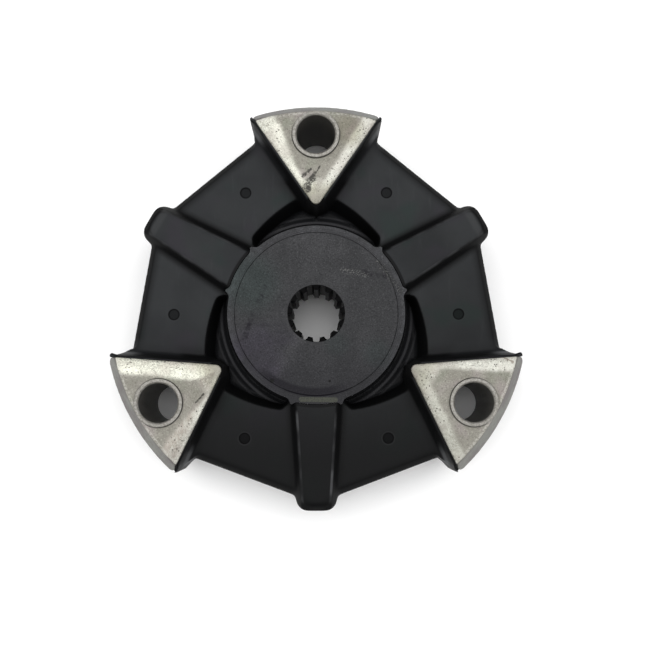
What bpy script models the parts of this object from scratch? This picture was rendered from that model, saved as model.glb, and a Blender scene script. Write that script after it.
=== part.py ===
# Flexible rubber coupling with a splined steel hub.
# One rubber ring holds three wedge inserts for axial bolts and three ribbed blocks.
# Each rib is pulled against the hub by one radial screw.
# The axis is Z, the middle plane is Z = 0, and the first wedge points along +Y.
# Sizes are in millimetres; outlines are pairs (across, outward) in the frame of a wedge or a rib.

import math

import bmesh
import bpy
from mathutils import Matrix

MM = 0.001
COPIES = 3
WEDGE_AZIMUTH = 90.0
RIB_AZIMUTH = 30.0

# Clearances
SEAT_GAP = 0.3
HUB_GAP = 0.3
FILLET_PROUD = 0.15

# Axial bolt sleeves
BOLT_CIRCLE_RADIUS = 70.0
SLEEVE_BORE_RADIUS = 7.6
SLEEVE_OUTER_RADIUS = 9.3
SLEEVE_HALF_LENGTH = 23.0
SLEEVE_CHAMFER = 0.5

# Wedge inserts, cast aluminium
WEDGE_APEX_BEYOND_HUB = 6.0
WEDGE_HALF_ANGLE = math.radians(34.4)
WEDGE_TIP_ROUND = 2.2
WEDGE_END_BEYOND_BOLTS = 13.5
WEDGE_END_DRAFT = 4.1
WEDGE_FACE_BELOW_SLEEVE = 1.2
WEDGE_BAND_WIDTH = 3.8
WEDGE_BAND_DROP = 1.2
WEDGE_DRAFT_HEIGHT = 7.8

# Rubber around the wedges
JACKET_LIP = 0.9
JACKET_LIP_ROUND = 2.9
JACKET_FOOT = 3.3
JACKET_FOOT_ROUND = 8.0
JACKET_LIP_DROP = 0.5
JACKET_WING_LENGTH = 13.2
JACKET_END_LIP = 0.6
WING_FILLET = 4.0
FOOT_DROP = 1.0

# Rubber segments between wedges and ribs
SEGMENT_HALF_HEIGHT = 12.0
SEGMENT_EDGE_INSIDE_BOLTS = 0.1
SEGMENT_EDGE_NORMAL = math.radians(39.5)
SEGMENT_EDGE_INSET = 2.6
SEGMENT_EDGE_DEPTH = 2.5
MARK_RADIUS = 2.1
MARK_DEPTH = 0.4
MARKS_INSIDE_BOLTS = 13.5
MARK_OFFSET = math.radians(30.0)

# Gap between the rubber ring and the hub, as arcs at the face and at the middle plane.
# Each point is (across, outward from the hub radius).
MOAT_FACE_START = (8.7, 10.9)
MOAT_FACE_END = (25.6, -4.2)
MOAT_MID_START = (4.6, 8.2)
MOAT_MID_END = (23.8, -6.1)
MOAT_ARC_RISE = 1.1
MOAT_APEX_BEYOND_HUB = 16.0
MOAT_END_ACROSS = 9.0
MOAT_END_INSIDE_HUB = 2.0

# Web of rubber that closes the gap at the middle plane, with a bead round the hub
WEB_HALF_THICKNESS = 1.2
WEB_REACH_BEYOND_HUB = 11.0
BEAD_BEYOND_HUB = 3.6
BEAD_HALF_HEIGHT = 2.4
BEAD_CREST = 1.0
BEAD_FOOT = 2.8

# Ribs
RIB_HALF_HEIGHT = 16.0
RIB_FACE_WIDTH_INNER = 17.6
RIB_FACE_WIDTH_OUTER = 11.8
RIB_FOOT_WIDTH_INNER = 23.2
RIB_FOOT_WIDTH_OUTER = 14.6
RIB_INSIDE_HUB = 5.0
RIB_END_BEYOND_BOLTS = 7.3
RIB_END_SLOPE = 2.1
RIB_END_ROUND = 4.6
RIB_EDGE_ROUND = 0.9
RIB_FILLET = 3.0
RIB_NECK_LENGTH = 7.8
RIB_NECK_WIDTH = 17.4

# Hub, steel
HUB_HALF_HEIGHT = 16.0
HUB_RADIUS = 35.0
HUB_STEP_WIDTH = 3.0
HUB_STEP_DROP = 0.4
HUB_PAD_RISE = 0.6
HUB_PAD_ANGLE = math.radians(11.5)
HUB_HORN_RISE = 2.4
HUB_HORN_ANGLE = math.radians(15.5)
HUB_HORN_FOOT_ANGLE = math.radians(20.0)
SPLINE_TEETH = 13
SPLINE_MAJOR_RADIUS = 11.2
SPLINE_TOOTH_HEIGHT = 1.75
SPLINE_TOOTH_SHARE_TIP = 0.40
SPLINE_TOOTH_SHARE_ROOT = 0.56
SPLINE_LEAD_IN = 0.6

# Blocks inside the ribs and the screws through them
BLOCK_WIDTH = 11.0
BLOCK_HEIGHT = 22.0
BLOCK_SEAT_DEPTH = 11.3
BLOCK_EDGE = 1.5
SCREW_RADIUS = 3.0
SCREW_GRIP = 14.0
SCREW_HEAD_RADIUS = 5.0
SCREW_HEAD_HEIGHT = 6.0
SCREW_SOCKET_WIDTH = 5.0
SCREW_SOCKET_DEPTH = 3.0
SCREW_TIP_CHAMFER = 0.8
SCREW_HEAD_CHAMFER = 0.5
SCREW_HOLE_BEYOND_TIP = 2.0
HEAD_CLEARANCE = 0.6

# Fineness
ARC_STEPS = 10
CORNER_STEPS = 4
ROUND_STEPS = 48
OVERSHOOT = 3.0

# Worked out from the above
WEDGE_APEX_RADIUS = HUB_RADIUS + WEDGE_APEX_BEYOND_HUB
WEDGE_OUTER_RADIUS = BOLT_CIRCLE_RADIUS + WEDGE_END_BEYOND_BOLTS
WEDGE_FACE_RADIUS = WEDGE_OUTER_RADIUS - WEDGE_END_DRAFT
WEDGE_HALF_HEIGHT = SLEEVE_HALF_LENGTH - WEDGE_FACE_BELOW_SLEEVE
WEDGE_EDGE_HEIGHT = WEDGE_HALF_HEIGHT - WEDGE_BAND_DROP
WEDGE_WAIST_HEIGHT = WEDGE_HALF_HEIGHT - WEDGE_DRAFT_HEIGHT
JACKET_HALF_HEIGHT = WEDGE_EDGE_HEIGHT - JACKET_LIP_DROP
JACKET_WING_RADIUS = WEDGE_OUTER_RADIUS - JACKET_WING_LENGTH
SEGMENT_WAIST_HEIGHT = SEGMENT_HALF_HEIGHT - SEGMENT_EDGE_DEPTH
SEGMENT_EDGE_DISTANCE = BOLT_CIRCLE_RADIUS - SEGMENT_EDGE_INSIDE_BOLTS
MARK_CIRCLE_RADIUS = BOLT_CIRCLE_RADIUS - MARKS_INSIDE_BOLTS
RIB_END_RADIUS = BOLT_CIRCLE_RADIUS + RIB_END_BEYOND_BOLTS
RIB_FACE_END_RADIUS = RIB_END_RADIUS - RIB_END_SLOPE
RIB_NECK_RADIUS = RIB_END_RADIUS - RIB_NECK_LENGTH
RIB_INNER_RADIUS = HUB_RADIUS - RIB_INSIDE_HUB
RIB_SLOPE_HEIGHT = RIB_HALF_HEIGHT - RIB_EDGE_ROUND
FOOT_HEIGHT = SEGMENT_HALF_HEIGHT - FOOT_DROP
HUB_STEP_RADIUS = HUB_RADIUS - HUB_STEP_WIDTH
HUB_PAD_RADIUS = HUB_RADIUS + HUB_PAD_RISE
HUB_HORN_RADIUS = HUB_RADIUS + HUB_HORN_RISE
SPLINE_MINOR_RADIUS = SPLINE_MAJOR_RADIUS - SPLINE_TOOTH_HEIGHT
BLOCK_INNER_RADIUS = HUB_PAD_RADIUS + HUB_GAP
BLOCK_SEAT_RADIUS = RIB_END_RADIUS - BLOCK_SEAT_DEPTH
SCREW_TIP_RADIUS = HUB_RADIUS - SCREW_GRIP


def clear_scene():
    for item in list(bpy.data.objects):
        bpy.data.objects.remove(item, do_unlink=True)


def make_material(name, color, roughness, metallic):
    material = bpy.data.materials.new(name)
    material.use_nodes = True
    shader = material.node_tree.nodes["Principled BSDF"]
    shader.inputs["Base Color"].default_value = (*color, 1.0)
    shader.inputs["Roughness"].default_value = roughness
    shader.inputs["Metallic"].default_value = metallic
    return material


def round_corner(before, corner, after, radius):
    """Points of the arc that rounds one corner of an outline."""
    to_before = (before[0] - corner[0], before[1] - corner[1])
    to_after = (after[0] - corner[0], after[1] - corner[1])
    first = math.atan2(to_before[1], to_before[0])
    second = math.atan2(to_after[1], to_after[0])
    opening = (second - first + math.pi) % (2 * math.pi) - math.pi
    half = abs(opening) / 2
    bisector = first + opening / 2
    reach = radius / math.sin(half)
    centre = (corner[0] + reach * math.cos(bisector), corner[1] + reach * math.sin(bisector))
    sweep = math.pi - 2 * half
    side = 1 if opening > 0 else -1
    middle = bisector + math.pi
    start = middle + side * sweep / 2
    points = []
    for step in range(CORNER_STEPS + 1):
        angle = start - side * sweep * step / CORNER_STEPS
        points.append((centre[0] + radius * math.cos(angle), centre[1] + radius * math.sin(angle)))
    return points


def rounded(corners):
    """An outline from (across, outward, radius) corners."""
    points = []
    for index, (across, outward, radius) in enumerate(corners):
        if radius <= 0:
            points.append((across, outward))
            continue
        before = corners[index - 1][:2]
        after = corners[(index + 1) % len(corners)][:2]
        points.extend(round_corner(before, (across, outward), after, radius))
    return points


def mirrored(half):
    """A closed outline from its right half, given from the inner end outwards."""
    left = [(-across, outward, radius) for across, outward, radius in reversed(half)]
    return left + list(half)


def arc_between(start, end, rise):
    """Points on the arc from start to end that bulges to the left by rise."""
    chord = math.dist(start, end)
    radius = (chord * chord / 4 + rise * rise) / (2 * rise)
    middle = ((start[0] + end[0]) / 2, (start[1] + end[1]) / 2)
    left = (-(end[1] - start[1]) / chord, (end[0] - start[0]) / chord)
    centre = (middle[0] - left[0] * (radius - rise), middle[1] - left[1] * (radius - rise))
    first = math.atan2(start[1] - centre[1], start[0] - centre[0])
    last = math.atan2(end[1] - centre[1], end[0] - centre[0])
    turn = (last - first + math.pi) % (2 * math.pi) - math.pi
    return [(centre[0] + radius * math.cos(first + turn * step / ARC_STEPS),
             centre[1] + radius * math.sin(first + turn * step / ARC_STEPS))
            for step in range(ARC_STEPS + 1)]


def turned_to(point, azimuth):
    """A point of a wedge or rib frame in world axes."""
    angle = math.radians(azimuth - 90.0)
    cosine, sine = math.cos(angle), math.sin(angle)
    return (point[0] * cosine - point[1] * sine, point[0] * sine + point[1] * cosine)


def around(half_sector):
    """A closed outline from one third of it, repeated round the axis."""
    outline = []
    for copy in range(COPIES):
        azimuth = WEDGE_AZIMUTH + copy * 360.0 / COPIES
        outline.extend(turned_to(point, azimuth) for point in half_sector)
    return outline


def loft(name, levels, material=None):
    """A closed solid through outlines of equal length, given as (height, outline)."""
    mesh = bmesh.new()
    rings = []
    for height, outline in levels:
        rings.append([mesh.verts.new((x * MM, y * MM, height * MM)) for x, y in outline])
    mesh.faces.new(rings[0])
    mesh.faces.new(rings[-1])
    for lower, upper in zip(rings, rings[1:]):
        for index, corner in enumerate(lower):
            following = (index + 1) % len(lower)
            mesh.faces.new((corner, lower[following], upper[following], upper[index]))
    return finish_mesh(name, mesh, material)


def turned_solid(name, profile, material=None, steps=ROUND_STEPS):
    """A closed solid of revolution about Z from a closed (radius, height) profile."""
    mesh = bmesh.new()
    closed = all(radius > 0 for radius, height in profile)
    columns = []
    for step in range(steps):
        angle = 2 * math.pi * step / steps
        column = []
        for index, (radius, height) in enumerate(profile):
            if radius == 0 and step > 0:
                column.append(columns[0][index])
                continue
            place = (radius * math.cos(angle) * MM, radius * math.sin(angle) * MM, height * MM)
            column.append(mesh.verts.new(place))
        columns.append(column)
    count = len(profile)
    for step in range(steps):
        near, far = columns[step], columns[(step + 1) % steps]
        for index in range(count if closed else count - 1):
            following = (index + 1) % count
            ring = []
            for corner in (near[index], far[index], far[following], near[following]):
                if corner not in ring:
                    ring.append(corner)
            if len(ring) > 2:
                mesh.faces.new(ring)
    return finish_mesh(name, mesh, material)


def finish_mesh(name, mesh, material):
    bmesh.ops.recalc_face_normals(mesh, faces=mesh.faces)
    data = bpy.data.meshes.new(name)
    mesh.to_mesh(data)
    mesh.free()
    item = bpy.data.objects.new(name, data)
    bpy.context.scene.collection.objects.link(item)
    if material:
        data.materials.append(material)
    return item


def as_cutter(item):
    item.hide_render = True
    item.display_type = "WIRE"
    return item


def split_into_triangles(item):
    mesh = bmesh.new()
    mesh.from_mesh(item.data)
    bmesh.ops.triangulate(mesh, faces=mesh.faces[:])
    mesh.to_mesh(item.data)
    mesh.free()


def combine(target, tool, operation):
    """Apply one Boolean to the target and delete the tool."""
    as_cutter(tool)
    split_into_triangles(target)
    modifier = target.modifiers.new(operation.title(), "BOOLEAN")
    modifier.operation = operation
    modifier.object = tool
    with bpy.context.temp_override(object=target, active_object=target, selected_objects=[target]):
        bpy.ops.object.modifier_apply(modifier=modifier.name)
    bpy.data.objects.remove(tool, do_unlink=True)


def spin_into_place(item, azimuth):
    item.data.transform(Matrix.Rotation(math.radians(azimuth - 90.0), 4, "Z"))
    item.data.update()


def lay_along_radius(item):
    """Turn a solid built about Z so that its own +Z points outwards, along +Y."""
    item.data.transform(Matrix.Rotation(math.radians(-90.0), 4, "X"))
    item.data.update()


def smooth(item, degrees=28.0):
    item.data.shade_smooth()
    item.data.set_sharp_from_angle(angle=math.radians(degrees))


def flank_across(radius, offset=0.0):
    """Half width of a wedge at a distance from the axis, with its flank moved out by offset."""
    plain = (radius - WEDGE_APEX_RADIUS) * math.tan(WEDGE_HALF_ANGLE)
    return plain + offset / math.cos(WEDGE_HALF_ANGLE)


def wedge_corner(outer_radius, offset):
    """Where a wedge flank meets a circle about the axis."""
    slope = math.tan(WEDGE_HALF_ANGLE)
    shift = flank_across(0.0, offset)
    middle = -slope * shift / (1 + slope * slope)
    spread = (outer_radius ** 2 - shift ** 2) / (1 + slope * slope)
    outward = middle + math.sqrt(middle ** 2 + spread)
    return (flank_across(outward, offset), outward)


def wedge_outline(outer_radius, offset, tip_round):
    """Rounded tip, two flanks and an outer arc."""
    apex = WEDGE_APEX_RADIUS - offset / math.sin(WEDGE_HALF_ANGLE)
    across, outward = wedge_corner(outer_radius, offset)
    tip = round_corner((-across, outward), (0.0, apex), (across, outward), tip_round)
    last = math.atan2(outward, across)
    first = math.pi - last
    arc = []
    for step in range(ARC_STEPS * 2 + 1):
        angle = last + (first - last) * step / (ARC_STEPS * 2)
        arc.append((outer_radius * math.cos(angle), outer_radius * math.sin(angle)))
    return tip + arc


def make_wedge(name, azimuth, material):
    edge_radius = WEDGE_FACE_RADIUS + (WEDGE_OUTER_RADIUS - WEDGE_FACE_RADIUS) * (
        WEDGE_BAND_DROP / WEDGE_DRAFT_HEIGHT)
    face = wedge_outline(WEDGE_FACE_RADIUS, -WEDGE_BAND_WIDTH, WEDGE_TIP_ROUND)
    edge = wedge_outline(edge_radius, 0.0, WEDGE_TIP_ROUND)
    waist = wedge_outline(WEDGE_OUTER_RADIUS, 0.0, WEDGE_TIP_ROUND)
    item = loft(name, [
        (-WEDGE_HALF_HEIGHT, face), (-WEDGE_EDGE_HEIGHT, edge), (-WEDGE_WAIST_HEIGHT, waist),
        (WEDGE_WAIST_HEIGHT, waist), (WEDGE_EDGE_HEIGHT, edge), (WEDGE_HALF_HEIGHT, face)], material)
    radius = SLEEVE_OUTER_RADIUS + SEAT_GAP
    reach = WEDGE_HALF_HEIGHT + OVERSHOOT
    hole = turned_solid("wedge_hole", [(0, -reach), (radius, -reach), (radius, reach), (0, reach)])
    hole.data.transform(Matrix.Translation((0, BOLT_CIRCLE_RADIUS * MM, 0)))
    combine(item, hole, "DIFFERENCE")
    spin_into_place(item, azimuth)
    smooth(item)
    return item


def make_sleeve(name, azimuth, material):
    edge = SLEEVE_CHAMFER
    long, inner, outer = SLEEVE_HALF_LENGTH, SLEEVE_BORE_RADIUS, SLEEVE_OUTER_RADIUS
    profile = [
        (inner + edge, -long), (outer, -long), (outer, long),
        (inner + edge, long), (inner, long - edge), (inner, -long + edge)]
    item = turned_solid(name, profile, material)
    item.data.transform(Matrix.Translation((0, BOLT_CIRCLE_RADIUS * MM, 0)))
    spin_into_place(item, azimuth)
    smooth(item)
    return item


def hub_outline(gap=0.0):
    """Disc with three seats, each between two pointed horns; gap grows it all round."""
    seat_steps = 4
    half = []
    for step in range(seat_steps + 1):
        half.append((HUB_PAD_ANGLE * step / seat_steps, HUB_PAD_RADIUS))
    span = HUB_HORN_ANGLE - HUB_PAD_ANGLE
    rise = HUB_HORN_RADIUS - HUB_PAD_RADIUS
    for step in range(1, 4):
        share = step / 4
        half.append((HUB_PAD_ANGLE + span * share, HUB_PAD_RADIUS + rise * share ** 2.2))
    half.append((HUB_HORN_ANGLE, HUB_HORN_RADIUS))
    span = HUB_HORN_FOOT_ANGLE - HUB_HORN_ANGLE
    fall = HUB_HORN_RADIUS - HUB_RADIUS
    for step in range(1, 5):
        share = step / 4
        half.append((HUB_HORN_ANGLE + span * share, HUB_RADIUS + fall * (1 - share) ** 2.2))
    end = math.pi / COPIES
    for step in range(1, ARC_STEPS + 1):
        share = step / ARC_STEPS
        half.append((HUB_HORN_FOOT_ANGLE + (end - HUB_HORN_FOOT_ANGLE) * share, HUB_RADIUS))
    third = [(-angle, radius) for angle, radius in reversed(half[1:-1])] + half
    points = []
    for copy in range(COPIES):
        centre = math.radians(RIB_AZIMUTH) + 2 * math.pi * copy / COPIES
        for angle, radius in third:
            grown = radius + gap
            points.append((grown * math.cos(centre + angle), grown * math.sin(centre + angle)))
    return points


def shrunk_outline(outline, largest):
    """The outline held inside a circle."""
    points = []
    for x, y in outline:
        radius = math.hypot(x, y)
        share = min(1.0, largest / radius)
        points.append((x * share, y * share))
    return points


def spline_outline():
    points = []
    pitch = 2 * math.pi / SPLINE_TEETH
    for tooth in range(SPLINE_TEETH):
        centre = math.pi / 2 + tooth * pitch
        for radius, share in ((SPLINE_MAJOR_RADIUS, -SPLINE_TOOTH_SHARE_ROOT),
                              (SPLINE_MINOR_RADIUS, -SPLINE_TOOTH_SHARE_TIP),
                              (SPLINE_MINOR_RADIUS, SPLINE_TOOTH_SHARE_TIP),
                              (SPLINE_MAJOR_RADIUS, SPLINE_TOOTH_SHARE_ROOT)):
            angle = centre + share * pitch / 2
            points.append((radius * math.cos(angle), radius * math.sin(angle)))
        angle = centre + pitch / 2
        points.append((SPLINE_MAJOR_RADIUS * math.cos(angle), SPLINE_MAJOR_RADIUS * math.sin(angle)))
    return points


def make_hub(name, material):
    full = hub_outline()
    face = shrunk_outline(full, HUB_STEP_RADIUS)
    step_height = HUB_HALF_HEIGHT - HUB_STEP_DROP
    item = loft(name, [(-HUB_HALF_HEIGHT, face), (-step_height, full),
                       (step_height, full), (HUB_HALF_HEIGHT, face)], material)
    reach = HUB_HALF_HEIGHT + OVERSHOOT
    spline = spline_outline()
    combine(item, loft("spline_cut", [(-reach, spline), (reach, spline)]), "DIFFERENCE")
    wide = SPLINE_MAJOR_RADIUS + SPLINE_LEAD_IN
    narrow = SPLINE_MINOR_RADIUS - SPLINE_LEAD_IN
    depth = wide - narrow
    for side in (-1, 1):
        top = side * HUB_HALF_HEIGHT
        cone = turned_solid("lead_in_cut", [
            (0, top + side * OVERSHOOT), (wide + OVERSHOOT, top + side * OVERSHOOT),
            (narrow, top - side * depth), (0, top - side * depth)])
        combine(item, cone, "DIFFERENCE")
    bottom = SCREW_TIP_RADIUS - SCREW_HOLE_BEYOND_TIP
    radius = SCREW_RADIUS + SEAT_GAP
    for copy in range(COPIES):
        profile = [(0, bottom), (radius, bottom), (radius, HUB_HORN_RADIUS + OVERSHOOT),
                   (0, HUB_HORN_RADIUS + OVERSHOOT)]
        hole = turned_solid("screw_hole", profile, steps=24)
        lay_along_radius(hole)
        spin_into_place(hole, RIB_AZIMUTH + copy * 360.0 / COPIES)
        combine(item, hole, "DIFFERENCE")
    smooth(item)
    return item


def body_outline(inset):
    """Outer edge of the segments, with fillets that run into the jackets and the ribs."""
    distance = SEGMENT_EDGE_DISTANCE - inset
    sine, cosine = math.sin(SEGMENT_EDGE_NORMAL), math.cos(SEGMENT_EDGE_NORMAL)
    wing = flank_across(JACKET_WING_RADIUS, JACKET_FOOT) + FILLET_PROUD
    end_across, end_outward = wedge_corner(WEDGE_OUTER_RADIUS, JACKET_END_LIP)
    lean = (end_across - wing) / (end_outward - JACKET_WING_RADIUS)
    wing_outward = (distance - wing * sine) / cosine
    inside = (flank_across(JACKET_WING_RADIUS), JACKET_WING_RADIUS + WING_FILLET)
    above = (wing + lean * WING_FILLET, wing_outward + WING_FILLET)

    rib_angle = math.pi / COPIES
    slope = rib_angle - SEGMENT_EDGE_NORMAL
    neck = RIB_FOOT_WIDTH_OUTER / 2 + FILLET_PROUD
    neck_outward = (distance - neck * math.sin(slope)) / math.cos(slope)

    def from_rib(across, outward):
        cos_rib, sin_rib = math.cos(rib_angle), math.sin(rib_angle)
        return (outward * sin_rib - across * cos_rib, outward * cos_rib + across * sin_rib)

    half = [
        (*inside, 0.0),
        (*above, 0.0),
        (wing, wing_outward, WING_FILLET / 2),
        (*from_rib(neck, neck_outward), RIB_FILLET),
        (*from_rib(neck, neck_outward + RIB_FILLET), 0.0),
        (*from_rib(0.0, neck_outward + RIB_FILLET / 2), 0.0)]
    mirror = [(-across, outward, radius) for across, outward, radius in reversed(half[:-1])]
    corners = []
    for copy in range(COPIES):
        azimuth = WEDGE_AZIMUTH - copy * 360.0 / COPIES
        for across, outward, radius in mirror + half:
            corners.append((*turned_to((across, outward), azimuth), radius))
    return rounded(corners)


def moat_outline(start, end):
    """Inner edge of the segments, running from under one rib to the next."""
    arc = arc_between((start[0], HUB_RADIUS + start[1]), (end[0], HUB_RADIUS + end[1]), MOAT_ARC_RISE)
    rib_angle = math.pi / COPIES
    cos_rib, sin_rib = math.cos(rib_angle), math.sin(rib_angle)
    end_radius = HUB_RADIUS - MOAT_END_INSIDE_HUB
    under_rib = (end_radius * sin_rib - MOAT_END_ACROSS * cos_rib,
                 end_radius * cos_rib + MOAT_END_ACROSS * sin_rib)
    right = [(0.0, HUB_RADIUS + MOAT_APEX_BEYOND_HUB)] + arc + [under_rib]
    left = [(-across, outward) for across, outward in reversed(right[1:])]
    third = left + right
    return around(list(reversed(third)))


def jacket_outline(offset, tip_round, outer_radius, end_lip):
    """Rubber round one wedge; it reaches over the wedge, which is cut out later."""
    apex = WEDGE_APEX_RADIUS - offset / math.sin(WEDGE_HALF_ANGLE)
    end = wedge_corner(outer_radius, end_lip)
    wing = (flank_across(JACKET_WING_RADIUS, offset), JACKET_WING_RADIUS)
    half = [(*wing, WING_FILLET), (*end, 0.2)]
    corners = [(0.0, apex, tip_round)] + half
    corners += [(-across, outward, radius) for across, outward, radius in reversed(half)]
    return rounded(corners)


def make_jacket(azimuth):
    height = JACKET_HALF_HEIGHT
    share = (WEDGE_HALF_HEIGHT - height) / WEDGE_DRAFT_HEIGHT
    lip_radius = WEDGE_FACE_RADIUS + (WEDGE_OUTER_RADIUS - WEDGE_FACE_RADIUS) * share
    lip = jacket_outline(JACKET_LIP, JACKET_LIP_ROUND, lip_radius, JACKET_END_LIP)
    foot = jacket_outline(JACKET_FOOT, JACKET_FOOT_ROUND, WEDGE_OUTER_RADIUS, JACKET_END_LIP)
    item = loft("jacket", [
        (-height, lip), (-FOOT_HEIGHT, foot), (FOOT_HEIGHT, foot), (height, lip)])
    spin_into_place(item, azimuth)
    return item


def rib_outline(widths, end_radius, inset):
    """Rib in plan from its widths at the hub, at the neck and at the outer end."""
    inner, neck, outer = (width / 2 - inset for width in widths)
    half = [(inner, RIB_INNER_RADIUS, 0.0), (neck, RIB_NECK_RADIUS, 0.0),
            (outer, end_radius - inset, RIB_END_ROUND)]
    return rounded(mirrored(half))


def make_rib(azimuth):
    foot_widths = (RIB_FOOT_WIDTH_INNER, RIB_NECK_WIDTH, RIB_FOOT_WIDTH_OUTER)
    taper = (RIB_NECK_RADIUS - RIB_INNER_RADIUS) / (RIB_FACE_END_RADIUS - RIB_INNER_RADIUS)
    face_neck = RIB_FACE_WIDTH_INNER + (RIB_FACE_WIDTH_OUTER - RIB_FACE_WIDTH_INNER) * taper
    face_widths = (RIB_FACE_WIDTH_INNER, face_neck, RIB_FACE_WIDTH_OUTER)
    foot = rib_outline(foot_widths, RIB_END_RADIUS, 0.0)
    brow = rib_outline(face_widths, RIB_FACE_END_RADIUS, 0.0)
    face = rib_outline(face_widths, RIB_FACE_END_RADIUS, RIB_EDGE_ROUND)
    item = loft("rib", [
        (-RIB_HALF_HEIGHT, face), (-RIB_SLOPE_HEIGHT, brow), (-FOOT_HEIGHT, foot),
        (FOOT_HEIGHT, foot), (RIB_SLOPE_HEIGHT, brow), (RIB_HALF_HEIGHT, face)])
    spin_into_place(item, azimuth)
    return item


def make_web():
    """Ring of thin rubber with a bead, cut back to the hub and the wedges later."""
    bead = HUB_RADIUS + BEAD_BEYOND_HUB
    thin, high = WEB_HALF_THICKNESS, BEAD_HALF_HEIGHT
    upper = [(RIB_INNER_RADIUS, thin), (bead - BEAD_FOOT / 2, thin), (bead - BEAD_CREST / 2, high),
             (bead + BEAD_CREST / 2, high), (bead + BEAD_FOOT / 2, thin),
             (HUB_RADIUS + WEB_REACH_BEYOND_HUB, thin)]
    lower = [(radius, -height) for radius, height in reversed(upper)]
    return turned_solid("web", upper + lower, steps=72)


def block_outline(grow):
    """Section of a rib block across its length, as (across, height)."""
    wide, high = BLOCK_WIDTH / 2 + grow, BLOCK_HEIGHT / 2 + grow
    edge = BLOCK_EDGE
    return [(wide, -high + edge), (wide, high - edge), (wide - edge, high), (-wide + edge, high),
            (-wide, high - edge), (-wide, -high + edge), (-wide + edge, -high), (wide - edge, -high)]


def make_block_shape(name, grow, inner, outer, material=None):
    section = block_outline(grow)
    item = loft(name, [(inner, section), (outer, section)], material)
    lay_along_radius(item)
    return item


def make_rubber(name, material):
    full, face = body_outline(0.0), body_outline(SEGMENT_EDGE_INSET)
    item = loft(name, [(-SEGMENT_HALF_HEIGHT, face), (-SEGMENT_WAIST_HEIGHT, full),
                       (SEGMENT_WAIST_HEIGHT, full), (SEGMENT_HALF_HEIGHT, face)], material)
    beyond = SEGMENT_HALF_HEIGHT + OVERSHOOT
    top, middle = moat_outline(MOAT_FACE_START, MOAT_FACE_END), moat_outline(MOAT_MID_START, MOAT_MID_END)
    moat = loft("moat_cut", [(-beyond, top), (-SEGMENT_HALF_HEIGHT, top), (0.0, middle),
                             (SEGMENT_HALF_HEIGHT, top), (beyond, top)])
    combine(item, moat, "DIFFERENCE")
    for copy in range(COPIES):
        combine(item, make_rib(RIB_AZIMUTH + copy * 360.0 / COPIES), "UNION")
        combine(item, make_jacket(WEDGE_AZIMUTH + copy * 360.0 / COPIES), "UNION")
    combine(item, make_web(), "UNION")
    reach = WEDGE_HALF_HEIGHT + OVERSHOOT
    room = hub_outline(HUB_GAP)
    combine(item, loft("hub_cut", [(-reach, room), (reach, room)]), "DIFFERENCE")
    beyond_wedge = WEDGE_OUTER_RADIUS + OVERSHOOT
    for copy in range(COPIES):
        turn = copy * 360.0 / COPIES
        pocket = wedge_outline(beyond_wedge, SEAT_GAP, WEDGE_TIP_ROUND + SEAT_GAP)
        cut = loft("wedge_cut", [(-reach, pocket), (reach, pocket)])
        spin_into_place(cut, WEDGE_AZIMUTH + turn)
        combine(item, cut, "DIFFERENCE")
        seat = BLOCK_SEAT_RADIUS + SEAT_GAP
        cut = make_block_shape("block_cut", SEAT_GAP, HUB_PAD_RADIUS - OVERSHOOT, seat)
        spin_into_place(cut, RIB_AZIMUTH + turn)
        combine(item, cut, "DIFFERENCE")
        radius = SCREW_HEAD_RADIUS + HEAD_CLEARANCE
        profile = [(0, BLOCK_SEAT_RADIUS - OVERSHOOT), (radius, BLOCK_SEAT_RADIUS - OVERSHOOT),
                   (radius, RIB_END_RADIUS + OVERSHOOT), (0, RIB_END_RADIUS + OVERSHOOT)]
        cut = turned_solid("head_cut", profile, steps=32)
        lay_along_radius(cut)
        spin_into_place(cut, RIB_AZIMUTH + turn)
        combine(item, cut, "DIFFERENCE")
    cut_marks(item)
    smooth(item)
    return item


def cut_marks(item):
    """Shallow round mould marks in the middle of each segment, on both faces."""
    for copy in range(COPIES):
        for side in (-1, 1):
            for face in (-1, 1):
                low = face * (SEGMENT_HALF_HEIGHT - MARK_DEPTH)
                high = face * (SEGMENT_HALF_HEIGHT + OVERSHOOT)
                cut = turned_solid("mark_cut", [(0, low), (MARK_RADIUS, low), (MARK_RADIUS, high), (0, high)],
                                   steps=16)
                cut.data.transform(Matrix.Translation((0, MARK_CIRCLE_RADIUS * MM, 0)))
                turn = WEDGE_AZIMUTH + copy * 360.0 / COPIES + math.degrees(side * MARK_OFFSET)
                spin_into_place(cut, turn)
                combine(item, cut, "DIFFERENCE")


def make_block(name, azimuth, material):
    """Block in a rib, with a curved end on the hub and a bore for the screw."""
    item = make_block_shape(name, 0.0, HUB_PAD_RADIUS - OVERSHOOT, BLOCK_SEAT_RADIUS, material)
    spin_into_place(item, azimuth)
    reach = BLOCK_HEIGHT
    room = [(BLOCK_INNER_RADIUS * math.cos(2 * math.pi * step / 96),
             BLOCK_INNER_RADIUS * math.sin(2 * math.pi * step / 96)) for step in range(96)]
    combine(item, loft("seat_cut", [(-reach, room), (reach, room)]), "DIFFERENCE")
    radius = SCREW_RADIUS + SEAT_GAP
    profile = [(0, BLOCK_INNER_RADIUS - OVERSHOOT), (radius, BLOCK_INNER_RADIUS - OVERSHOOT),
               (radius, BLOCK_SEAT_RADIUS + OVERSHOOT), (0, BLOCK_SEAT_RADIUS + OVERSHOOT)]
    bore = turned_solid("bore_cut", profile, steps=24)
    lay_along_radius(bore)
    spin_into_place(bore, azimuth)
    combine(item, bore, "DIFFERENCE")
    smooth(item)
    return item


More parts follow.
